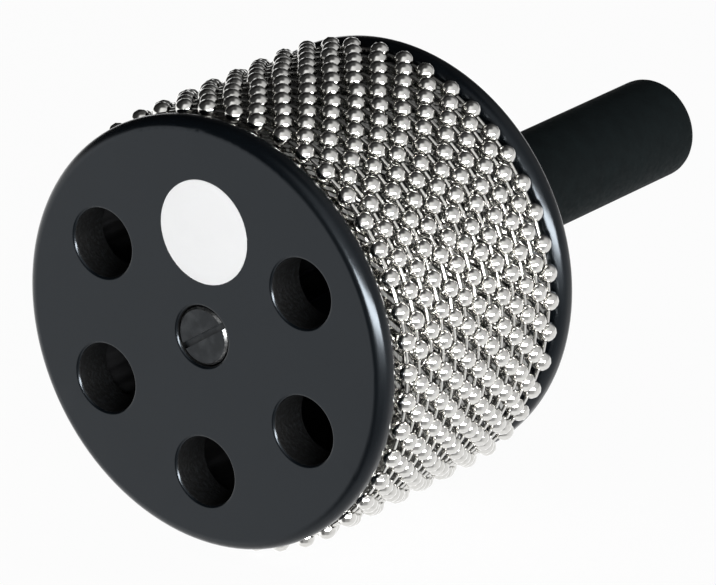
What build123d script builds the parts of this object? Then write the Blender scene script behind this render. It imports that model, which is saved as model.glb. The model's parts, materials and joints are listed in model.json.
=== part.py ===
from build123d import *
import math
import os

# Cabasa: a hollow drum with a steel sleeve, wrapped in loops of ball chain and clamped between two
# discs by one long bolt that also holds the handle.
# The cabasa lies on its side, as it is put down. The drum axis runs along Y, the front disc faces -Y
# and the handle points along +Y. Z = 0 is the surface that it lies on, and the origin is below the
# middle of its length. All sizes are in millimetres and all angles in degrees.

# Drum
drum_diameter = 93.4  # outside of the steel sleeve
drum_length = 59.3  # between the flanges of the two discs
sleeve_thickness = 0.5
sleeve_seam_gap = 0.6  # butt joint of the rolled sheet
sleeve_seam_angle = 215.0
shell_wall = 4.0
fit_clearance = 0.1  # between pieces that slide together and are clamped or glued

# Discs
disc_overhang = 3.3  # how far the flange stands past the steel sleeve
flange_thickness = 6.2
spigot_depth = 3.6  # step that plugs into the drum shell
rim_radius = 2.8
hole_diameter = 16.0
hole_edge_radius = 0.7
hole_wall = 2.0  # wood between a sound hole and the edge of the spigot
hole_places = 6  # evenly spread, with the label in one place instead of a hole
first_hole_angle = 30.0

# Label
label_diameter = 24.0
label_offset = 24.6
label_angle = 87.4
label_thickness = 0.3

# Centre bolt and its insert
bolt_diameter = 6.0
bolt_hole_clearance = 0.2
bolt_head_diameter = 13.4
bolt_head_height = 3.0
bolt_head_chamfer = 0.5
bolt_head_gap = 0.35  # round the head, in its counterbore
bolt_head_sink = 0.15  # below the front face
bolt_engagement = 13.0  # length inside the insert
slot_width = 1.5
slot_depth = 1.3
slot_angle = 32.7
insert_wall = 1.8
insert_length = 16.0

# Handle
handle_diameter = 24.0
handle_length = 101.7  # from the rear disc to the rounded end
handle_end_radius = 3.0
handle_end_thickness = 5.0  # soft end in front of the dowel
grip_wall = 4.0
dowel_socket_depth = 4.0
dowel_end_chamfer = 1.0

# Ball chain
bead_diameter = 4.5
bead_pitch = 6.92  # from one bead to the next along a loop
mouth_diameter = 1.4  # open end of a bead, where a link enters
link_diameter = 0.9
chain_clearance = 0.3  # least room between the beads and the steel sleeve
chain_slack = 1.2  # how much further from the sleeve the loops hang at the bottom
slack_power = 3  # how soon the slack dies away up the sides
path_corners = 72  # points that the path of a loop is drawn through
chain_rear_gap = 0.5  # between the last loop and the rear disc
chain_front_gap = 0.4  # least room between the first loop and the front disc
loop_pitch = 4.36  # from one loop to the next along the drum
loop_phase = 0.25  # share of a bead pitch by which the lowest bead of a loop stands aside

# Radii that follow
sleeve_radius = drum_diameter / 2
shell_radius = sleeve_radius - sleeve_thickness - fit_clearance
shell_bore_radius = shell_radius - shell_wall
disc_radius = sleeve_radius + disc_overhang
spigot_radius = shell_bore_radius - fit_clearance
hole_radius = hole_diameter / 2
hole_circle_radius = spigot_radius - hole_wall - hole_radius
bolt_radius = bolt_diameter / 2
bolt_hole_radius = bolt_radius + bolt_hole_clearance
bolt_head_radius = bolt_head_diameter / 2
counterbore_radius = bolt_head_radius + bolt_head_gap
handle_radius = handle_diameter / 2
grip_bore_radius = handle_radius - grip_wall
dowel_radius = grip_bore_radius - fit_clearance
insert_bore_radius = bolt_radius + fit_clearance
insert_radius = insert_bore_radius + insert_wall
bead_radius = bead_diameter / 2
loop_radius = sleeve_radius + chain_clearance + bead_radius

# Stations along the axis, from the front face
drum_start = flange_thickness
drum_end = drum_start + drum_length
rear_face = drum_end + flange_thickness
handle_end = rear_face + handle_length
bolt_seat = bolt_head_sink + bolt_head_height
dowel_start = rear_face - dowel_socket_depth
dowel_end = handle_end - handle_end_thickness
bolt_end = dowel_start + bolt_engagement
last_loop = drum_end - chain_rear_gap - bead_radius
first_loop_least = drum_start + chain_front_gap + bead_radius

loop_count = math.floor((last_loop - first_loop_least) / loop_pitch) + 1

os.makedirs("parts", exist_ok=True)


def turned(*corners):
    """Solid turned about the drum axis from corners given as (radius, station)."""
    return revolve(make_face(Polyline(*corners, close=True)), Axis.Y)


def tube(outer_radius, inner_radius, start, end):
    """Tube on the drum axis."""
    return turned(
        (inner_radius, start),
        (outer_radius, start),
        (outer_radius, end),
        (inner_radius, end),
    )


def rod(radius, start, end):
    """Solid rod on the drum axis."""
    return turned((0, start), (radius, start), (radius, end), (0, end))


def across(angle, distance):
    """Place on the front face, at an angle from +X towards +Z and a distance from the axis."""
    return Pos(distance * math.cos(math.radians(angle)), 0, distance * math.sin(math.radians(angle)))


def circles_at(solid, radius, station):
    """Circular edges of one radius at one station."""
    circles = solid.edges().filter_by(GeomType.CIRCLE)
    return circles.filter_by(
        lambda edge: abs(edge.radius - radius) < 1e-4 and abs(edge.center().Y - station) < 1e-4
    )


def disc_blank(face, flange_inside, spigot_end):
    """Flange with a rounded rim and the step that plugs into the drum shell."""
    blank = rod(disc_radius, min(face, flange_inside), max(face, flange_inside))
    rounding = min(rim_radius, 0.45 * flange_thickness)
    rims = circles_at(blank, disc_radius, face) + circles_at(blank, disc_radius, flange_inside)
    blank = fillet(rims, rounding)
    return blank + rod(spigot_radius, min(flange_inside, spigot_end), max(flange_inside, spigot_end))


def make_front_disc():
    disc = disc_blank(0, drum_start, drum_start + spigot_depth)
    back = drum_start + spigot_depth
    label_place = hole_places // 4
    for place in range(hole_places):
        angle = first_hole_angle + place * 360 / hole_places
        if place != label_place:
            disc -= across(angle, hole_circle_radius) * rod(hole_radius, 0, back)
    rounding = min(hole_edge_radius, 0.4 * hole_wall)
    disc = fillet(circles_at(disc, hole_radius, 0), rounding)
    disc -= rod(counterbore_radius, 0, bolt_seat)
    disc -= rod(bolt_hole_radius, bolt_seat, back)
    disc = fillet(circles_at(disc, counterbore_radius, 0), rounding)
    label_seat = rod(label_diameter / 2 + fit_clearance, 0, label_thickness)
    return disc - across(label_angle, label_offset) * label_seat


def make_rear_disc():
    disc = disc_blank(rear_face, drum_end, drum_end - spigot_depth)
    disc -= rod(dowel_radius + fit_clearance, dowel_start, rear_face)
    return disc - rod(bolt_hole_radius, drum_end - spigot_depth, dowel_start)


def make_label():
    return across(label_angle, label_offset) * rod(label_diameter / 2, 0, label_thickness)


def make_steel_sleeve():
    sheet = tube(sleeve_radius, sleeve_radius - sleeve_thickness, drum_start, drum_end)
    seam = Box(2 * sleeve_thickness + 1, drum_length, sleeve_seam_gap)
    seam = Pos(sleeve_radius, (drum_start + drum_end) / 2, 0) * seam
    return sheet - Rot(0, -sleeve_seam_angle, 0) * seam


def make_centre_bolt():
    head = rod(bolt_head_radius, bolt_head_sink, bolt_seat)
    chamfered = min(bolt_head_chamfer, 0.3 * bolt_head_height)
    head = chamfer(circles_at(head, bolt_head_radius, bolt_head_sink), chamfered)
    slot = Box(bolt_head_diameter, 2 * slot_depth, slot_width)
    head -= Pos(0, bolt_head_sink, 0) * Rot(0, -slot_angle, 0) * slot
    return head + rod(bolt_radius, bolt_seat, bolt_end)


def make_handle_dowel():
    dowel = rod(dowel_radius, dowel_start, dowel_end)
    chamfered = min(dowel_end_chamfer, 0.2 * dowel_radius)
    dowel = chamfer(circles_at(dowel, dowel_radius, dowel_end), chamfered)
    return dowel - rod(insert_radius + fit_clearance, dowel_start, dowel_start + insert_length)


def make_handle_grip():
    grip = rod(handle_radius, rear_face, handle_end)
    rounding = min(handle_end_radius, 0.9 * handle_end_thickness)
    grip = fillet(circles_at(grip, handle_radius, handle_end), rounding)
    return grip - rod(grip_bore_radius, rear_face, dowel_end)


def loop_path():
    """Closed path of the bead centres, from the bottom: near the sleeve on top, slack below."""
    corners = []
    for k in range(path_corners):
        angle = math.radians(360 * k / path_corners - 90)
        slack = chain_slack * ((1 - math.sin(angle)) / 2) ** slack_power
        reach = loop_radius + slack
        corners.append((reach * math.cos(angle), 0, reach * math.sin(angle)))
    return Spline(*corners, periodic=True)


def make_bead():
    """Bead about Z, flat at both mouths."""
    mouth_radius = min(mouth_diameter, 0.8 * bead_diameter) / 2
    mouth_height = math.sqrt(bead_radius**2 - mouth_radius**2)
    side = ThreePointArc((mouth_radius, -mouth_height), (bead_radius, 0), (mouth_radius, mouth_height))
    core = Polyline(
        (mouth_radius, mouth_height),
        (0, mouth_height),
        (0, -mouth_height),
        (mouth_radius, -mouth_height),
    )
    return revolve(Plane.XZ * make_face([side, core]), Axis.Z)


def make_chain_loop(bead_places):
    """One closed loop of beads and the links between them."""
    bead = make_bead()
    links = []
    for k, centre in enumerate(bead_places):
        following = bead_places[(k + 1) % len(bead_places)]
        along = following - bead_places[k - 1]
        reach = following - centre
        link = extrude(Plane(origin=centre, z_dir=reach) * Circle(link_diameter / 2), reach.length)
        links.append(Plane(origin=centre, z_dir=along) * bead + link)
    return links[0].fuse(*links[1:])


# Bead centres of one loop, evenly spread along its path
path = loop_path()
bead_count = round(path.length / bead_pitch)
bead_places = [path.position_at((k + loop_phase) / bead_count) for k in range(bead_count)]

# The cabasa rests on the chain, or on the discs if those stand out further
lowest_bead = min(place.Z for place in bead_places)
axis_height = max(bead_radius - lowest_bead, disc_radius)
resting_place = Pos(0, -handle_end / 2, axis_height)

pieces = {
    "front_disc": make_front_disc(),
    "rear_disc": make_rear_disc(),
    "round_label": make_label(),
    "drum_shell": tube(shell_radius, shell_bore_radius, drum_start, drum_end),
    "steel_sleeve": make_steel_sleeve(),
    "centre_bolt": make_centre_bolt(),
    "threaded_insert": tube(insert_radius, insert_bore_radius, dowel_start, dowel_start + insert_length),
    "handle_dowel": make_handle_dowel(),
    "handle_grip": make_handle_grip(),
}

# The loops, counted from the front. Every other one is mirrored, so that its beads nest in the gaps of
# its neighbours and the cabasa lies on two rows of beads
loop = make_chain_loop(bead_places)
mirrored_loop = mirror(loop, about=Plane.YZ)
for number in range(1, loop_count + 1):
    laid_loop = mirrored_loop if (loop_count - number) % 2 else loop
    station = last_loop - (loop_count - number) * loop_pitch
    pieces[f"chain_loop_{number:02d}"] = Pos(0, station, 0) * laid_loop

for name, piece in pieces.items():
    export_step(resting_place * piece, f"parts/{name}.step")
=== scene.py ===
import json
import math

import bmesh
import bpy
from mathutils import Matrix, Vector


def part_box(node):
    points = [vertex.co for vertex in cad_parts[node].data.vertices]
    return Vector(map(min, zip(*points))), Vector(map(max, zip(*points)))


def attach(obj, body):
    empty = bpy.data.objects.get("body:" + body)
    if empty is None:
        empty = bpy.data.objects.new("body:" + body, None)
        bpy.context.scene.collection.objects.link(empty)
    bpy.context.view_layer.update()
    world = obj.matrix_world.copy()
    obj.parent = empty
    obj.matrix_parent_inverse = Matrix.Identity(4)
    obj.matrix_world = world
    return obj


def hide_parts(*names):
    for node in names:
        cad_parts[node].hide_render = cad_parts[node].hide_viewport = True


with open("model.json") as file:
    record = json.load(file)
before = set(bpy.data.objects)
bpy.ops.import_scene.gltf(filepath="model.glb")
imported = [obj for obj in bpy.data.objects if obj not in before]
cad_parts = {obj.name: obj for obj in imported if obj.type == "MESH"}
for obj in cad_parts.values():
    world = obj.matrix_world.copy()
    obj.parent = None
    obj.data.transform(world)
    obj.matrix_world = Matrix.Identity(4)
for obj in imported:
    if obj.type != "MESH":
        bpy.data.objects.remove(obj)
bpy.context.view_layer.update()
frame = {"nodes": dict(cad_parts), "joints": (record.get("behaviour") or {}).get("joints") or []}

mm = 0.001

# Where the drum lies, read from the frame
axisPoint = Vector(frame["joints"][0]["pos_m"])
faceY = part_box("front_disc")[0].y
sleeveLow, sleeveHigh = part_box("steel_sleeve")
gripLow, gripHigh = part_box("handle_grip")


# Shared tools

def onDrum(radius, angle, y):
    # place at a radius and an angle (from +X towards +Z) about the drum axis
    return Vector((axisPoint.x + radius * math.cos(angle), y, axisPoint.z + radius * math.sin(angle)))


def addPiece(name, mesh, body, slotName, *nodes):
    piece = bpy.data.objects.new(name, mesh)
    bpy.context.collection.objects.link(piece)
    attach(piece, body)
    if nodes:
        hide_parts(*nodes)
    return piece


def bakeModifiers(helper, name):
    # plain mesh of a helper object with its modifiers, after which the helper goes
    graph = bpy.context.evaluated_depsgraph_get()
    mesh = bpy.data.meshes.new_from_object(helper.evaluated_get(graph))
    mesh.name = name
    bpy.data.objects.remove(helper)
    return mesh


def helperObject(name, mesh):
    helper = bpy.data.objects.new(name, mesh)
    bpy.context.collection.objects.link(helper)
    return helper


def weldedCopy(node, name, sharpAngle=32.0, weld=0.002 * mm):
    # smooth copy of a CAD node: doubles merged, hard edges marked, flats kept flat
    work = bmesh.new()
    work.from_mesh(frame["nodes"][node].data)
    bmesh.ops.remove_doubles(work, verts=work.verts, dist=weld)
    bmesh.ops.dissolve_degenerate(work, edges=work.edges, dist=weld)
    for face in work.faces:
        face.smooth = True
    for edge in work.edges:
        edge.smooth = edge.calc_face_angle(0.0) < math.radians(sharpAngle)
    mesh = bpy.data.meshes.new(name)
    work.to_mesh(mesh)
    work.free()
    mesh.materials.clear()
    helper = helperObject(name + ".helper", mesh)
    weighted = helper.modifiers.new("weighted", "WEIGHTED_NORMAL")
    weighted.keep_sharp = True
    weighted.weight = 100
    return bakeModifiers(helper, name)


def latheMesh(name, profile, segments, sharpAngle=40.0):
    # profile of (radius, y) turned about the drum axis, poles and seam closed
    work = bmesh.new()
    rings = []
    for radius, y in profile:
        count = segments if radius > 1e-7 else 1
        ring = [work.verts.new(onDrum(radius, 2 * math.pi * k / segments, y)) for k in range(count)]
        rings.append(ring)
    for low, high in zip(rings, rings[1:]):
        for k in range(segments):
            a, b = low[k % len(low)], low[(k + 1) % len(low)]
            c, d = high[(k + 1) % len(high)], high[k % len(high)]
            corners = list(dict.fromkeys((a, b, c, d)))
            if len(corners) > 2:
                work.faces.new(corners)
    bmesh.ops.recalc_face_normals(work, faces=work.faces)
    for face in work.faces:
        face.smooth = True
    for edge in work.edges:
        edge.smooth = edge.calc_face_angle(0.0) < math.radians(sharpAngle)
    mesh = bpy.data.meshes.new(name)
    work.to_mesh(mesh)
    work.free()
    return mesh


# Material tools

def startMaterial(name, colour, roughness, metallic=0.0):
    material = bpy.data.materials.new(name)
    material.use_nodes = True
    tree = material.node_tree
    shader = tree.nodes["Principled BSDF"]
    shader.inputs["Base Color"].default_value = (*colour, 1.0)
    shader.inputs["Roughness"].default_value = roughness
    shader.inputs["Metallic"].default_value = metallic
    return material, tree, shader


def addNode(tree, kind, **inputs):
    node = tree.nodes.new(kind)
    for label, value in inputs.items():
        node.inputs[label.replace("_", " ")].default_value = value
    return node


def objectNoise(tree, scale, detail=3.0, stretch=(1.0, 1.0, 1.0)):
    # noise on Object coordinates, scale in cells per metre
    coordinates = tree.nodes.new("ShaderNodeTexCoord")
    mapping = addNode(tree, "ShaderNodeMapping", Scale=stretch)
    noise = addNode(tree, "ShaderNodeTexNoise", Scale=scale, Detail=detail)
    tree.links.new(coordinates.outputs["Object"], mapping.inputs["Vector"])
    tree.links.new(mapping.outputs["Vector"], noise.inputs["Vector"])
    return noise.outputs["Fac"]


noiseSpan = (0.3, 0.7)  # where most of the noise lies


def varyRoughness(tree, shader, fac, low, high):
    spread = addNode(tree, "ShaderNodeMapRange", To_Min=low, To_Max=high)
    spread.inputs["From Min"].default_value = noiseSpan[0]
    spread.inputs["From Max"].default_value = noiseSpan[1]
    tree.links.new(fac, spread.inputs["Value"])
    tree.links.new(spread.outputs["Result"], shader.inputs["Roughness"])


def varyColour(tree, shader, fac, dark, light, start=0.35, end=0.65):
    ramp = tree.nodes.new("ShaderNodeValToRGB")
    ramp.color_ramp.elements[0].position = start
    ramp.color_ramp.elements[0].color = (*dark, 1.0)
    ramp.color_ramp.elements[1].position = end
    ramp.color_ramp.elements[1].color = (*light, 1.0)
    tree.links.new(fac, ramp.inputs["Fac"])
    tree.links.new(ramp.outputs["Color"], shader.inputs["Base Color"])


def addBump(tree, shader, fac, strength, distance):
    bump = addNode(tree, "ShaderNodeBump", Strength=strength, Distance=distance)
    tree.links.new(fac, bump.inputs["Height"])
    tree.links.new(bump.outputs["Normal"], shader.inputs["Normal"])


# Finishes: scales are in cells per metre, and each blend is the part of the noise that a colour change spans

lacquer = {
    "colour": (0.0014, 0.0024, 0.0036),
    "roughness": 0.24,
    "gloss": (0.21, 0.26),
    "glossScale": 60,
    "shine": 0.25,
    "sheenTint": (0.82, 0.91, 1.0),
    "peelScale": 420,
    "peel": 0.03,
    "peelDepth": 0.1 * mm,
}


def lacquerMaterial():
    # satin black lacquer with a faint orange peel
    material, tree, shader = startMaterial("blackLacquer", lacquer["colour"], lacquer["roughness"])
    shader.inputs["Specular IOR Level"].default_value = lacquer["shine"]
    shader.inputs["Specular Tint"].default_value = (*lacquer["sheenTint"], 1.0)
    varyRoughness(tree, shader, objectNoise(tree, lacquer["glossScale"]), *lacquer["gloss"])
    addBump(tree, shader, objectNoise(tree, lacquer["peelScale"]), lacquer["peel"], lacquer["peelDepth"])
    return material


boredWall = {
    "dark": (0.0006, 0.0007, 0.0008),
    "light": (0.006, 0.007, 0.0078),
    "blend": (0.45, 0.68),
    "roughness": 0.6,
    "shine": 0.15,
    "grainScale": 1300,
    "grainDetail": 5.0,
    "grain": 0.7,
    "grainDepth": 0.25 * mm,
}


def boredWallMaterial():
    # stained fibres where the sound holes are bored through
    material, tree, shader = startMaterial("boredWall", boredWall["dark"], boredWall["roughness"])
    shader.inputs["Specular IOR Level"].default_value = boredWall["shine"]
    grain = objectNoise(tree, boredWall["grainScale"], boredWall["grainDetail"])
    varyColour(tree, shader, grain, boredWall["dark"], boredWall["light"], *boredWall["blend"])
    addBump(tree, shader, grain, boredWall["grain"], boredWall["grainDepth"])
    return material


label = {
    "colour": (0.85, 0.855, 0.86),
    "shade": (0.84, 0.845, 0.85),
    "shadeScale": 260,
    "roughness": 0.42,
    "grainScale": 1800,
    "grain": 0.04,
    "grainDepth": 0.05 * mm,
}


def labelMaterial():
    # plain white film with a very faint grain
    material, tree, shader = startMaterial("labelFilm", label["colour"], label["roughness"])
    varyColour(tree, shader, objectNoise(tree, label["shadeScale"]), label["shade"], label["colour"])
    addBump(tree, shader, objectNoise(tree, label["grainScale"]), label["grain"], label["grainDepth"])
    return material


boltFinish = {
    "colour": (0.010, 0.012, 0.014),
    "light": (0.030, 0.033, 0.036),
    "blend": (0.42, 0.72),
    "roughness": 0.34,
    "metal": 0.35,
    "shine": 0.22,
    "rubbedScale": 420,
    "rubbedDetail": 6.0,
    "gloss": (0.28, 0.45),
    "glossScale": 900,
    "pitScale": 2400,
    "pits": 0.10,
    "pitDepth": 0.05 * mm,
}


def boltMaterial():
    # blackened steel with rubbed patches
    given = boltFinish
    material, tree, shader = startMaterial("blackenedBolt", given["colour"], given["roughness"], given["metal"])
    shader.inputs["Specular IOR Level"].default_value = given["shine"]
    rubbed = objectNoise(tree, given["rubbedScale"], given["rubbedDetail"])
    varyColour(tree, shader, rubbed, given["colour"], given["light"], *given["blend"])
    varyRoughness(tree, shader, objectNoise(tree, given["glossScale"]), *given["gloss"])
    addBump(tree, shader, objectNoise(tree, given["pitScale"]), given["pits"], given["pitDepth"])
    return material


boltEdge = {
    "worn": (0.14, 0.14, 0.14),
    "roughness": 0.28,
    "metal": 0.8,
    "wearScale": 1500,
    "wearDetail": 5.0,
    "gloss": (0.2, 0.36),
    "glossScale": 700,
}


def boltEdgeMaterial():
    # the chamfer round the head, worn brighter
    given = boltEdge
    material, tree, shader = startMaterial("wornBoltEdge", given["worn"], given["roughness"], given["metal"])
    wear = objectNoise(tree, given["wearScale"], given["wearDetail"])
    varyColour(tree, shader, wear, boltFinish["light"], given["worn"])
    varyRoughness(tree, shader, objectNoise(tree, given["glossScale"]), *given["gloss"])
    return material


nickel = {
    "colour": (0.66, 0.652, 0.631),
    "dull": (0.60, 0.592, 0.567),
    "blend": (0.3, 0.55),
    "roughness": 0.1,
    "gloss": (0.07, 0.03),
    "markScale": 900,
    "markDetail": 4.0,
    "waveScale": 1600,
    "waves": 0.02,
    "waveDepth": 0.05 * mm,
}


def nickelMaterial():
    # bright nickel plate with faint wiping marks
    material, tree, shader = startMaterial("brightNickel", nickel["colour"], nickel["roughness"], 1.0)
    marks = objectNoise(tree, nickel["markScale"], nickel["markDetail"])
    varyColour(tree, shader, marks, nickel["dull"], nickel["colour"], *nickel["blend"])
    varyRoughness(tree, shader, marks, *nickel["gloss"])
    addBump(tree, shader, objectNoise(tree, nickel["waveScale"]), nickel["waves"], nickel["waveDepth"])
    return material


# steel colours set far darker than the bright stainless sleeve: painted shade for the gaps between the beads,
# with real brushing streaks between dark and light
shadedSteel = {
    "colour": (0.24, 0.24, 0.23),
    "dark": (0.18, 0.18, 0.172),
    "light": (0.30, 0.30, 0.29),
    "roughness": 0.1,
    "gloss": (0.06, 0.13),
    "brushScale": 500,
    "brushStretch": (1.0, 6.0, 1.0),
}


def shadedSteelMaterial():
    # brushed steel, its colour darkened well below bright stainless as painted shade for the deep gaps between
    # the beads
    material, tree, shader = startMaterial("embossedSteelWithPaintedShade", shadedSteel["colour"], shadedSteel["roughness"], 1.0)
    brushed = objectNoise(tree, shadedSteel["brushScale"], stretch=shadedSteel["brushStretch"])
    varyColour(tree, shader, brushed, shadedSteel["dark"], shadedSteel["light"])
    varyRoughness(tree, shader, brushed, *shadedSteel["gloss"])
    return material


shellFinish = {
    "colour": (0.005, 0.005, 0.0055),
    "dark": (0.003, 0.003, 0.0035),
    "light": (0.014, 0.0145, 0.016),
    "roughness": 0.5,
    "gloss": (0.35, 0.6),
    "grainScale": 300,
    "grainDetail": 6.0,
    "grainStretch": (1.0, 0.04, 1.0),
    "grain": 0.35,
    "grainDepth": 0.2 * mm,
}


def shellMaterial():
    # black stain over lengthwise grain, as seen through the sound holes
    given = shellFinish
    material, tree, shader = startMaterial("stainedShell", given["colour"], given["roughness"])
    grain = objectNoise(tree, given["grainScale"], given["grainDetail"], given["grainStretch"])
    varyColour(tree, shader, grain, given["dark"], given["light"])
    varyRoughness(tree, shader, grain, *given["gloss"])
    addBump(tree, shader, grain, given["grain"], given["grainDepth"])
    return material


gripFinish = {
    "dark": (0.0034, 0.0062, 0.0070),
    "light": (0.0050, 0.0088, 0.0097),
    "patchScale": 240,
    "patchDetail": 6.0,
    "roughness": 0.72,
    "gloss": (0.62, 0.8),
    "glossScale": 800,
    "shine": 0.055,
    "poreScale": 1500,
    "poreDetail": 4.0,
    "pores": 0.22,
    "poreDepth": 0.12 * mm,
}


def gripMaterial():
    # soft matt rubber with fine pores
    given = gripFinish
    material, tree, shader = startMaterial("gripRubber", given["dark"], given["roughness"])
    shader.inputs["Specular IOR Level"].default_value = given["shine"]
    patches = objectNoise(tree, given["patchScale"], given["patchDetail"])
    varyColour(tree, shader, patches, given["dark"], given["light"])
    varyRoughness(tree, shader, objectNoise(tree, given["glossScale"]), *given["gloss"])
    pores = objectNoise(tree, given["poreScale"], given["poreDetail"])
    addBump(tree, shader, pores, given["pores"], given["poreDepth"])
    return material


dowelFinish = {
    "colour": (0.5, 0.36, 0.21),
    "dark": (0.36, 0.24, 0.13),
    "light": (0.58, 0.43, 0.26),
    "roughness": 0.55,
    "grainScale": 700,
    "grainDetail": 5.0,
    "grainStretch": (1.0, 0.05, 1.0),
    "grain": 0.2,
    "grainDepth": 0.1 * mm,
}


def dowelMaterial():
    # bare wood
    given = dowelFinish
    material, tree, shader = startMaterial("dowelWood", given["colour"], given["roughness"])
    grain = objectNoise(tree, given["grainScale"], given["grainDetail"], given["grainStretch"])
    varyColour(tree, shader, grain, given["dark"], given["light"])
    addBump(tree, shader, grain, given["grain"], given["grainDepth"])
    return material


brass = {
    "colour": (0.75, 0.56, 0.26),
    "dark": (0.5, 0.36, 0.16),
    "light": (0.78, 0.6, 0.3),
    "roughness": 0.3,
    "gloss": (0.25, 0.45),
    "tarnishScale": 400,
    "tarnishDetail": 4.0,
}


def brassMaterial():
    # tarnished brass
    material, tree, shader = startMaterial("insertBrass", brass["colour"], brass["roughness"], 1.0)
    tarnish = objectNoise(tree, brass["tarnishScale"], brass["tarnishDetail"])
    varyColour(tree, shader, tarnish, brass["dark"], brass["light"])
    varyRoughness(tree, shader, tarnish, *brass["gloss"])
    return material


def paintNode(node, material):
    shown = frame["nodes"][node]
    shown.data.materials.clear()
    shown.data.materials.append(material)


lacquerFinish = lacquerMaterial()
boredFinish = boredWallMaterial()
print("finishes ready")


# Discs

# faces this steep and this far inside the rim are bored walls
sound = {"wallLimit": 0.35, "rimMargin": 3.2 * mm}


def makeDisc(node, name):
    mesh = weldedCopy(node, name)
    mesh.materials.append(lacquerFinish)
    mesh.materials.append(boredFinish)
    low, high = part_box(node)
    edge = (high.x - low.x) / 2 - sound["rimMargin"]
    for face in mesh.polygons:
        spot = face.center - axisPoint
        inside = math.hypot(spot.x, spot.z) < edge
        if inside and abs(face.normal.y) < sound["wallLimit"]:
            face.material_index = 1
    return addPiece(name, mesh, "drum", "black_lacquer", node)


makeDisc("front_disc", "frontDisc")
makeDisc("rear_disc", "rearDisc")
print("discs ready")


# Label

def makeLabel():
    mesh = weldedCopy("round_label", "roundLabel")
    mesh.materials.append(labelMaterial())
    return addPiece("roundLabel", mesh, "drum", "label_white", "round_label")


makeLabel()


# Centre bolt

# faces near the top of the head with a slope in this range are the chamfer
bolt = {"slopeLow": 0.5, "slopeHigh": 0.9, "headDepth": 1.2 * mm, "sharpAngle": 30.0}


def makeBolt():
    mesh = weldedCopy("centre_bolt", "centreBolt", sharpAngle=bolt["sharpAngle"])
    mesh.materials.append(boltMaterial())
    mesh.materials.append(boltEdgeMaterial())
    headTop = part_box("centre_bolt")[0].y
    for face in mesh.polygons:
        onHead = face.center.y < headTop + bolt["headDepth"]
        if onHead and bolt["slopeLow"] < abs(face.normal.y) < bolt["slopeHigh"]:
            face.material_index = 1
    return addPiece("centreBolt", mesh, "drum", "blackened_bolt", "centre_bolt")


makeBolt()
print("label and bolt ready")


# Geometry Nodes tools

def startTree(name, floats):
    tree = bpy.data.node_groups.new(name, "GeometryNodeTree")
    tree.interface.new_socket("Geometry", in_out="INPUT", socket_type="NodeSocketGeometry")
    for label in floats:
        tree.interface.new_socket(label, in_out="INPUT", socket_type="NodeSocketFloat")
    tree.interface.new_socket("Geometry", in_out="OUTPUT", socket_type="NodeSocketGeometry")
    return tree, tree.nodes.new("NodeGroupInput"), tree.nodes.new("NodeGroupOutput")


def mathNode(tree, operation, first, second=None):
    node = tree.nodes.new("ShaderNodeMath")
    node.operation = operation
    for socket, value in zip(node.inputs, (first, second)):
        if isinstance(value, (int, float)):
            socket.default_value = value
        elif value is not None:
            tree.links.new(value, socket)
    return node.outputs[0]


def vectorNode(tree, x, y, z):
    node = tree.nodes.new("ShaderNodeCombineXYZ")
    for socket, value in zip(node.inputs, (x, y, z)):
        if isinstance(value, (int, float)):
            socket.default_value = value
        else:
            tree.links.new(value, socket)
    return node.outputs[0]


def endTree(tree, geometry, output, material):
    realize = tree.nodes.new("GeometryNodeRealizeInstances")
    paint = tree.nodes.new("GeometryNodeSetMaterial")
    paint.inputs["Material"].default_value = material
    tree.links.new(geometry, realize.inputs["Geometry"])
    tree.links.new(realize.outputs["Geometry"], paint.inputs["Geometry"])
    tree.links.new(paint.outputs["Geometry"], output.inputs["Geometry"])


def runTree(tree, name, values):
    # run a tree with its named inputs set, and keep the result as a plain mesh
    helper = helperObject(name + ".helper", bpy.data.meshes.new(name + ".empty"))
    nodes = helper.modifiers.new("nodes", "NODES")
    nodes.node_group = tree
    for item in tree.interface.items_tree:
        if item.in_out == "INPUT" and item.name in values:
            nodes[item.identifier] = values[item.name]
    return bakeModifiers(helper, name)


# Steel sleeve under the chain

emboss = {"cells": 256, "rows": 52, "height": 0.22 * mm, "weld": 0.005 * mm}


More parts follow.
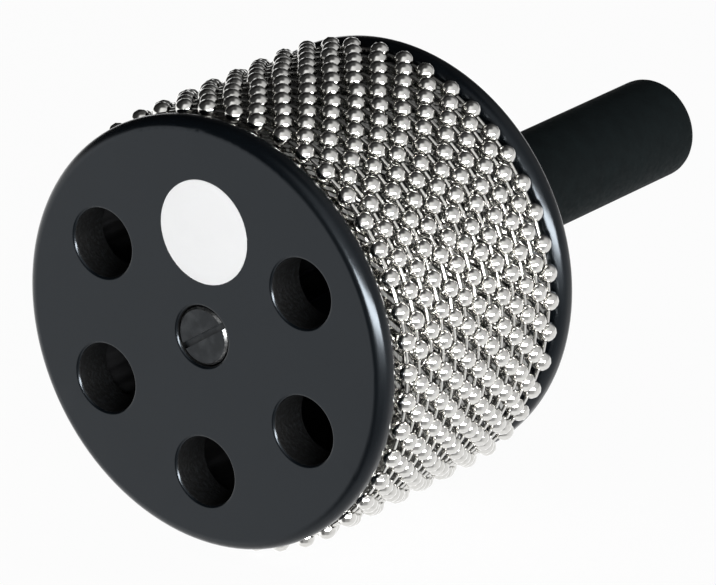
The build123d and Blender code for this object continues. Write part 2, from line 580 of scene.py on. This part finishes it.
def sleeveTree(material):
    # grid rolled about the drum axis, every other corner pressed in so that small pyramids stand up
    tree, given, output = startTree("embossedSleeve", ("Radius", "Start", "Length", "Height"))
    grid = addNode(tree, "GeometryNodeMeshGrid", Size_X=1.0, Size_Y=1.0)
    grid.inputs["Vertices X"].default_value = emboss["cells"] + 1
    grid.inputs["Vertices Y"].default_value = emboss["rows"] + 1
    place = tree.nodes.new("GeometryNodeInputPosition")
    split = tree.nodes.new("ShaderNodeSeparateXYZ")
    tree.links.new(place.outputs[0], split.inputs[0])
    across = mathNode(tree, "ADD", split.outputs["X"], 0.5)
    along = mathNode(tree, "ADD", split.outputs["Y"], 0.5)
    column = mathNode(tree, "ROUND", mathNode(tree, "MULTIPLY", across, emboss["cells"]))
    row = mathNode(tree, "ROUND", mathNode(tree, "MULTIPLY", along, emboss["rows"]))
    odd = mathNode(tree, "FLOORED_MODULO", mathNode(tree, "ADD", column, row), 2.0)
    dent = mathNode(tree, "MULTIPLY", odd, given.outputs["Height"])
    radius = mathNode(tree, "SUBTRACT", given.outputs["Radius"], dent)
    angle = mathNode(tree, "MULTIPLY", across, -2 * math.pi)
    x = mathNode(tree, "MULTIPLY", radius, mathNode(tree, "COSINE", angle))
    z = mathNode(tree, "MULTIPLY", radius, mathNode(tree, "SINE", angle))
    y = mathNode(tree, "MULTIPLY", along, given.outputs["Length"])
    y = mathNode(tree, "ADD", y, given.outputs["Start"])
    move = tree.nodes.new("GeometryNodeSetPosition")
    tree.links.new(grid.outputs["Mesh"], move.inputs["Geometry"])
    lifted = mathNode(tree, "ADD", z, axisPoint.z)
    tree.links.new(vectorNode(tree, x, y, lifted), move.inputs["Position"])
    weld = addNode(tree, "GeometryNodeMergeByDistance", Distance=emboss["weld"])
    tree.links.new(move.outputs["Geometry"], weld.inputs["Geometry"])
    endTree(tree, weld.outputs["Geometry"], output, material)
    return tree


def makeSleeve():
    radius = (sleeveHigh.x - sleeveLow.x) / 2
    length = sleeveHigh.y - sleeveLow.y
    values = {"Radius": radius, "Start": sleeveLow.y, "Length": length, "Height": emboss["height"]}
    mesh = runTree(sleeveTree(shadedSteelMaterial()), "embossedSleeve", values)
    return addPiece("embossedSleeve", mesh, "drum", "embossed_steel", "steel_sleeve")


makeSleeve()
print("sleeve ready")


# Ball chain

chain = {
    "loops": 13,
    "beads": 45,
    "beadDiameter": 4.5 * mm,
    "mouthDiameter": 1.3 * mm,
    "linkDiameter": 0.9 * mm,
    "clearance": 0.3 * mm,  # between the beads and the sleeve on top
    "slackPower": 3.0,      # how soon the slack dies away up the sides
    "phase": 0.25,          # share of a bead pitch by which the lowest bead stands aside
    "slide": 1.5 * mm,      # along a loop, where the curve below is 0 (back) or 1 (on)
    "slid": ((0.0, 0.05), (0.15, 0.26), (0.22, 0.42), (0.29, 0.67),
             (0.38, 0.60), (0.5, 0.5), (0.75, 0.3), (1.0, 0.05)),
    "sideways": 0.16 * mm,  # how far a bead may lie off its loop's middle
    "sidewaysSeed": 31,
    "slip": 0.07,           # share of a bead pitch that a bead may be pushed along
    "slipSeed": 0,
    "lean": 1.6 * mm,       # how far the loops lie forward at the bottom
    "leanPower": 0.6,       # how soon the lean dies away up the sides
    "fullness": 1.012,      # makes up for the flat sides of a bead
    "sides": 14,
    "bands": 6,
    "linkSides": 8,
    "linkEnds": (0.24, 0.76),  # share of the way from bead to bead
    "pathPoints": 180,
}


def beadMesh():
    # bead about Z, open at both mouths
    radius = chain["beadDiameter"] / 2 * chain["fullness"]
    start = math.asin(chain["mouthDiameter"] / 2 / radius)
    bands = chain["bands"]
    angles = [start + (math.pi - 2 * start) * k / bands for k in range(bands + 1)]
    return turnedPart("bead", [(radius * math.sin(a), -radius * math.cos(a)) for a in angles], chain["sides"])


def linkMesh():
    # link along Z for beads one unit apart, with its ends inside them
    radius = chain["linkDiameter"] / 2
    return turnedPart("link", [(radius, z) for z in chain["linkEnds"]], chain["linkSides"])


def turnedPart(name, profile, sides):
    # profile of (radius, z) turned about Z, open at its ends
    work = bmesh.new()
    rings = []
    for radius, z in profile:
        angles = [2 * math.pi * k / sides for k in range(sides)]
        rings.append([work.verts.new((radius * math.cos(a), radius * math.sin(a), z)) for a in angles])
    for low, high in zip(rings, rings[1:]):
        for k in range(sides):
            n = (k + 1) % sides
            work.faces.new((low[k], low[n], high[n], high[k])).smooth = True
    mesh = bpy.data.meshes.new(name)
    work.to_mesh(mesh)
    work.free()
    return mesh


def loopPath(tree, given):
    # closed path of the bead centres from the bottom towards +X:
    # near the sleeve on top, slack and leaning forward below
    corners = chain["pathPoints"]
    ring = tree.nodes.new("GeometryNodeCurvePrimitiveCircle")
    ring.inputs["Resolution"].default_value = corners
    index = tree.nodes.new("GeometryNodeInputIndex").outputs[0]
    angle = mathNode(tree, "MULTIPLY", index, 2 * math.pi / corners)
    angle = mathNode(tree, "SUBTRACT", angle, math.pi / 2)
    height = mathNode(tree, "SINE", angle)
    share = mathNode(tree, "MULTIPLY", mathNode(tree, "SUBTRACT", 1.0, height), 0.5)
    slack = mathNode(tree, "POWER", share, chain["slackPower"])
    slack = mathNode(tree, "MULTIPLY", slack, given.outputs["Slack"])
    reach = mathNode(tree, "ADD", given.outputs["Loop Radius"], slack)
    x = mathNode(tree, "MULTIPLY", reach, mathNode(tree, "COSINE", angle))
    z = mathNode(tree, "ADD", mathNode(tree, "MULTIPLY", reach, height), axisPoint.z)
    move = tree.nodes.new("GeometryNodeSetPosition")
    tree.links.new(ring.outputs["Curve"], move.inputs["Geometry"])
    lean = mathNode(tree, "POWER", share, chain["leanPower"])
    lean = mathNode(tree, "MULTIPLY", lean, chain["lean"])
    y = mathNode(tree, "SUBTRACT", given.outputs["Station"], lean)
    tree.links.new(vectorNode(tree, x, y, z), move.inputs["Position"])
    return move.outputs["Geometry"]


def chainTree(bead, link, material):
    tree, given, output = startTree("ballChainLoop", ("Loop Radius", "Slack", "Station", "Phase", "Seed"))
    count = chain["beads"]
    points = tree.nodes.new("GeometryNodePoints")
    points.inputs["Count"].default_value = count
    index = tree.nodes.new("GeometryNodeInputIndex").outputs[0]

    def jitter(reach, seed):
        spread = tree.nodes.new("FunctionNodeRandomValue")
        spread.data_type = "FLOAT"
        spread.inputs[2].default_value = -reach
        spread.inputs[3].default_value = reach
        tree.links.new(mathNode(tree, "ADD", given.outputs["Seed"], seed), spread.inputs["Seed"])
        return spread.outputs[1]

    # share of the loop where each bead sits, with what it has slid
    place = mathNode(tree, "ADD", index, given.outputs["Phase"])
    place = mathNode(tree, "ADD", place, jitter(chain["slip"], chain["slipSeed"]))
    share = mathNode(tree, "DIVIDE", place, float(count))
    share = mathNode(tree, "FRACT", mathNode(tree, "ADD", share, 1.0))
    slid = tree.nodes.new("ShaderNodeFloatCurve")
    bend = slid.mapping.curves[0]
    while len(bend.points) < len(chain["slid"]):
        bend.points.new(0.5, 0.5)
    for point, spot in zip(bend.points, chain["slid"]):
        point.location = spot
    slid.mapping.update()
    tree.links.new(share, slid.inputs["Value"])
    length = mathNode(tree, "MULTIPLY", given.outputs["Loop Radius"], 2 * math.pi)
    slide = mathNode(tree, "SUBTRACT", slid.outputs["Value"], 0.5)
    slide = mathNode(tree, "MULTIPLY", slide, 2 * chain["slide"])
    moved = mathNode(tree, "ADD", share, mathNode(tree, "DIVIDE", slide, length))
    moved = mathNode(tree, "FRACT", mathNode(tree, "ADD", moved, 1.0))
    strand = tree.nodes.new("GeometryNodeSampleCurve")
    strand.mode = "FACTOR"
    tree.links.new(loopPath(tree, given), strand.inputs["Curves"])
    tree.links.new(moved, strand.inputs["Factor"])
    aside = tree.nodes.new("ShaderNodeVectorMath")
    aside.operation = "ADD"
    tree.links.new(strand.outputs["Position"], aside.inputs[0])
    sideways = jitter(chain["sideways"], chain["sidewaysSeed"])
    tree.links.new(vectorNode(tree, 0.0, sideways, 0.0), aside.inputs[1])
    tree.links.new(aside.outputs[0], points.inputs["Position"])

    # way from each bead to the next
    here = tree.nodes.new("GeometryNodeInputPosition").outputs[0]
    following = tree.nodes.new("GeometryNodeSampleIndex")
    following.data_type = "FLOAT_VECTOR"
    tree.links.new(points.outputs[0], following.inputs["Geometry"])
    tree.links.new(here, following.inputs["Value"])
    wrapped = mathNode(tree, "FLOORED_MODULO", mathNode(tree, "ADD", index, 1.0), float(count))
    tree.links.new(wrapped, following.inputs["Index"])
    reach = tree.nodes.new("ShaderNodeVectorMath")
    reach.operation = "SUBTRACT"
    tree.links.new(following.outputs[0], reach.inputs[0])
    tree.links.new(here, reach.inputs[1])
    span = tree.nodes.new("ShaderNodeVectorMath")
    span.operation = "LENGTH"
    tree.links.new(reach.outputs[0], span.inputs[0])
    aim = tree.nodes.new("FunctionNodeAlignRotationToVector")
    aim.axis = "Z"
    tree.links.new(reach.outputs[0], aim.inputs["Vector"])

    def strung(helper, scale=None):
        # a copy on every bead's place, turned towards the next
        source = tree.nodes.new("GeometryNodeObjectInfo")
        source.inputs["Object"].default_value = helper
        place = tree.nodes.new("GeometryNodeInstanceOnPoints")
        tree.links.new(points.outputs[0], place.inputs["Points"])
        tree.links.new(source.outputs["Geometry"], place.inputs["Instance"])
        tree.links.new(aim.outputs["Rotation"], place.inputs["Rotation"])
        if scale:
            tree.links.new(scale, place.inputs["Scale"])
        return place.outputs["Instances"]

    together = tree.nodes.new("GeometryNodeJoinGeometry")
    linkScale = vectorNode(tree, 1.0, 1.0, span.outputs["Value"])
    tree.links.new(strung(link, linkScale), together.inputs[0])
    tree.links.new(strung(bead), together.inputs[0])
    endTree(tree, together.outputs[0], output, material)
    return tree


def makeChain():
    bead = helperObject("beadShape", beadMesh())
    link = helperObject("linkShape", linkMesh())
    tree = chainTree(bead, link, nickelMaterial())
    beadRadius = chain["beadDiameter"] / 2
    fullRadius = beadRadius * chain["fullness"]
    sleeveRadius = (sleeveHigh.x - sleeveLow.x) / 2
    radius = sleeveRadius + chain["clearance"] + 2 * beadRadius - fullRadius  # keeps the outside in place
    for number in range(1, chain["loops"] + 1):
        node = f"chain_loop_{number:02d}"
        low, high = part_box(node)
        mirrored = (chain["loops"] - number) % 2
        values = {
            "Loop Radius": radius,
            "Slack": axisPoint.z - low.z - fullRadius - radius,
            "Station": (low.y + high.y) / 2,
            "Phase": -chain["phase"] if mirrored else chain["phase"],
            "Seed": float(number),
        }
        name = f"ballChain{number:02d}"
        addPiece(name, runTree(tree, name, values), "chain_wrap", "nickel_chain", node)
    bpy.data.objects.remove(bead)
    bpy.data.objects.remove(link)


makeChain()
print("chain ready")


# Inside of the drum and the handle

def makeShell():
    mesh = weldedCopy("drum_shell", "drumShell")
    mesh.materials.append(shellMaterial())
    return addPiece("drumShell", mesh, "drum", "black_shell", "drum_shell")


grip = {"endRadius": 3.0 * mm, "endSteps": 8, "segments": 96, "rows": 24, "foot": 0.4 * mm}


def makeGrip():
    # straight sleeve with a rounded end, and a bore that closes on the dowel
    radius = (gripHigh.x - gripLow.x) / 2
    dowelLow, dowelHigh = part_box("handle_dowel")
    bore = (dowelHigh.x - dowelLow.x) / 2
    boreEnd = dowelHigh.y
    foot = grip["foot"]
    straight = gripHigh.y - grip["endRadius"]
    profile = [(0.0, boreEnd), (bore, boreEnd), (bore, gripLow.y), (radius - foot, gripLow.y)]
    for k in range(grip["rows"] + 1):
        share = k / grip["rows"]
        y = gripLow.y + foot + (straight - gripLow.y - foot) * share
        profile.append((radius, y))
    for k in range(1, grip["endSteps"] + 1):
        turn = math.pi / 2 * k / grip["endSteps"]
        inset = grip["endRadius"] * (1 - math.cos(turn))
        profile.append((radius - inset, straight + grip["endRadius"] * math.sin(turn)))
    profile.append((0.0, gripHigh.y))
    mesh = latheMesh("handleGrip", profile, grip["segments"])
    mesh.materials.append(gripMaterial())
    return addPiece("handleGrip", mesh, "drum", "grip_rubber", "handle_grip")


makeShell()
makeGrip()
paintNode("handle_dowel", dowelMaterial())
paintNode("threaded_insert", brassMaterial())
print("handle ready")


# Floor, light and camera

stageSet = {"floorSize": 12.0, "floorColour": (0.86, 0.86, 0.86), "roughness": 0.9, "glow": 0.96}


def makeFloor():
    # seen as white, but for a faint shadow
    half = stageSet["floorSize"] / 2
    mesh = bpy.data.meshes.new("floor")
    corners = [(-half, -half, 0), (half, -half, 0), (half, half, 0), (-half, half, 0)]
    mesh.from_pydata(corners, [], [(0, 1, 2, 3)])
    material, tree, shader = startMaterial("paleFloor", stageSet["floorColour"], stageSet["roughness"])
    shader.inputs["Specular IOR Level"].default_value = 0.0
    path = tree.nodes.new("ShaderNodeLightPath")
    seen = mathNode(tree, "MAXIMUM", path.outputs["Is Camera Ray"], path.outputs["Is Glossy Ray"])
    seen = mathNode(tree, "MAXIMUM", seen, path.outputs["Is Transmission Ray"])
    glow = addNode(tree, "ShaderNodeEmission", Color=(1.0, 1.0, 1.0, 1.0), Strength=1.0)
    blend = tree.nodes.new("ShaderNodeMixShader")
    tree.links.new(mathNode(tree, "MULTIPLY", seen, stageSet["glow"]), blend.inputs[0])
    tree.links.new(shader.outputs[0], blend.inputs[1])
    tree.links.new(glow.outputs[0], blend.inputs[2])
    tree.links.new(blend.outputs[0], tree.nodes["Material Output"].inputs["Surface"])
    mesh.materials.append(material)
    floor = helperObject("floor", mesh)
    floor.visible_glossy = False  # gloss sees the studio below instead


studio = {
    "ambient": 0.30,     # what dull surfaces get from all round
    "span": 2.0,         # brightness of a full ramp
    # brightness that gloss sees, by degrees round from the front towards +X
    "walls": ((-180, 0.14), (-165, 0.08), (-145, 0.03), (-120, 0.012), (-90, 0.02), (-50, 0.04),
              (-20, 0.05), (-3, 0.16), (7, 0.62), (16, 1.10), (27, 1.20), (45, 1.16),
              (62, 1.00), (90, 0.78), (140, 0.70), (161, 0.52), (172, 0.28), (180, 0.14)),
    "floor": ((-180, 1.10), (-90, 1.58), (-46, 1.84), (-37, 1.72), (-27, 1.03), (-17, 0.24),
              (6, 0.20), (22, 0.44), (62, 0.49), (84, 0.85), (115, 1.03), (180, 1.10)),
    # straight up and straight down, and the heights between which one passes into the next
    "zenith": 0.08,
    "nadir": 1.12,
    "zenithEdge": (0.80, 1.0),
    "nadirEdge": (-0.62, -0.90),
    "horizonEdge": (-0.08, 0.14),
}


def makeWorld():
    world = bpy.data.worlds.new("studio")
    bpy.context.scene.world = world
    world.use_nodes = True
    tree = world.node_tree
    sky = tree.nodes["Background"]
    sky.inputs["Color"].default_value = (1.0, 1.0, 1.0, 1.0)
    path = tree.nodes.new("ShaderNodeLightPath")
    direction = tree.nodes.new("ShaderNodeTexCoord").outputs["Generated"]
    split = tree.nodes.new("ShaderNodeSeparateXYZ")
    tree.links.new(direction, split.inputs[0])
    front = mathNode(tree, "MULTIPLY", split.outputs["Y"], -1.0)
    turn = mathNode(tree, "ARCTAN2", split.outputs["X"], front)
    turn = mathNode(tree, "ADD", mathNode(tree, "MULTIPLY", turn, 0.5 / math.pi), 0.5)

    def ring(stops):
        # brightness round the horizon
        ramp = tree.nodes.new("ShaderNodeValToRGB")
        ramp.color_ramp.interpolation = "EASE"
        elements = ramp.color_ramp.elements
        while len(elements) < len(stops):
            elements.new(0.5)
        for element, (degrees, level) in zip(elements, stops):
            element.position = (degrees + 180) / 360
            element.color = (*[level / studio["span"]] * 3, 1.0)
        tree.links.new(turn, ramp.inputs["Fac"])
        return mathNode(tree, "MULTIPLY", ramp.outputs["Color"], studio["span"])

    def rise(edge):
        # smooth step with height across an edge
        step = addNode(tree, "ShaderNodeMapRange", From_Min=edge[0], From_Max=edge[1])
        step.interpolation_type = "SMOOTHSTEP"
        tree.links.new(split.outputs["Z"], step.inputs["Value"])
        return step.outputs["Result"]

    def choose(test, yes, no):
        # yes where the test is 1, no where it is 0
        gap = mathNode(tree, "SUBTRACT", yes, no)
        return mathNode(tree, "ADD", mathNode(tree, "MULTIPLY", gap, test), no)

    above = choose(rise(studio["zenithEdge"]), studio["zenith"], ring(studio["walls"]))
    below = choose(rise(studio["nadirEdge"]), studio["nadir"], ring(studio["floor"]))
    shine = choose(rise(studio["horizonEdge"]), above, below)
    level = choose(path.outputs["Is Glossy Ray"], shine, studio["ambient"])
    level = choose(path.outputs["Is Camera Ray"], 1.0, level)
    tree.links.new(level, sky.inputs["Strength"])


lamps = {
    # the lamp that dull surfaces see, and the wide panel that gloss sees
    "softbox": {"azimuth": 47.0, "elevation": 7.0, "size": (0.46, 0.32), "watts": 8.6, "gloss": False},
    "panel": {"azimuth": 56.0, "elevation": 6.5, "size": (1.20, 0.26), "watts": 54.0, "gloss": True},
}
lampDistance = 0.95


def makeLights():
    # both just right of the camera
    for name, given in lamps.items():
        azimuth, elevation = math.radians(given["azimuth"]), math.radians(given["elevation"])
        level = math.cos(elevation)
        toward = Vector((math.sin(azimuth) * level, -math.cos(azimuth) * level, math.sin(elevation)))
        lamp = bpy.data.lights.new(name, "AREA")
        lamp.shape = "RECTANGLE"
        lamp.size, lamp.size_y = given["size"]
        lamp.energy = given["watts"]
        holder = bpy.data.objects.new(name, lamp)
        bpy.context.collection.objects.link(holder)
        holder.location = Vector((axisPoint.x, faceY, axisPoint.z)) + toward * lampDistance
        holder.rotation_euler = toward.to_track_quat("Z", "Y").to_euler()
        holder.visible_camera = False
        holder.visible_glossy = given["gloss"]
        holder.visible_diffuse = not given["gloss"]


cameraView = {
    "place": (0.92604, -1.14485, 0.55912),  # from the middle of the front face
    "azimuth": 37.629,
    "elevation": 20.462,
    "roll": -0.793,
    "lens": 360.18,
    "sensor": 36.0,
    "clip": (0.05, 50.0),
}


def makeCamera():
    azimuth = math.radians(cameraView["azimuth"])
    elevation = math.radians(cameraView["elevation"])
    roll = math.radians(cameraView["roll"])
    level = math.cos(elevation)
    forward = Vector((-math.sin(azimuth) * level, math.cos(azimuth) * level, -math.sin(elevation)))
    flatRight = forward.cross(Vector((0, 0, 1))).normalized()
    flatUp = flatRight.cross(forward)
    right = flatRight * math.cos(roll) + flatUp * math.sin(roll)
    up = right.cross(forward)
    data = bpy.data.cameras.new("camera")
    data.sensor_width = cameraView["sensor"]
    data.lens = cameraView["lens"]
    data.clip_start, data.clip_end = cameraView["clip"]
    camera = bpy.data.objects.new("camera", data)
    bpy.context.collection.objects.link(camera)
    frontMiddle = Vector((axisPoint.x, faceY, axisPoint.z))
    turn = Matrix((right, up, -forward)).transposed()
    camera.matrix_world = Matrix.Translation(frontMiddle + Vector(cameraView["place"])) @ turn.to_4x4()
    bpy.context.scene.camera = camera


makeFloor()
makeWorld()
makeLights()
makeCamera()
bpy.context.scene.view_settings.view_transform = "Standard"
print("stage ready")
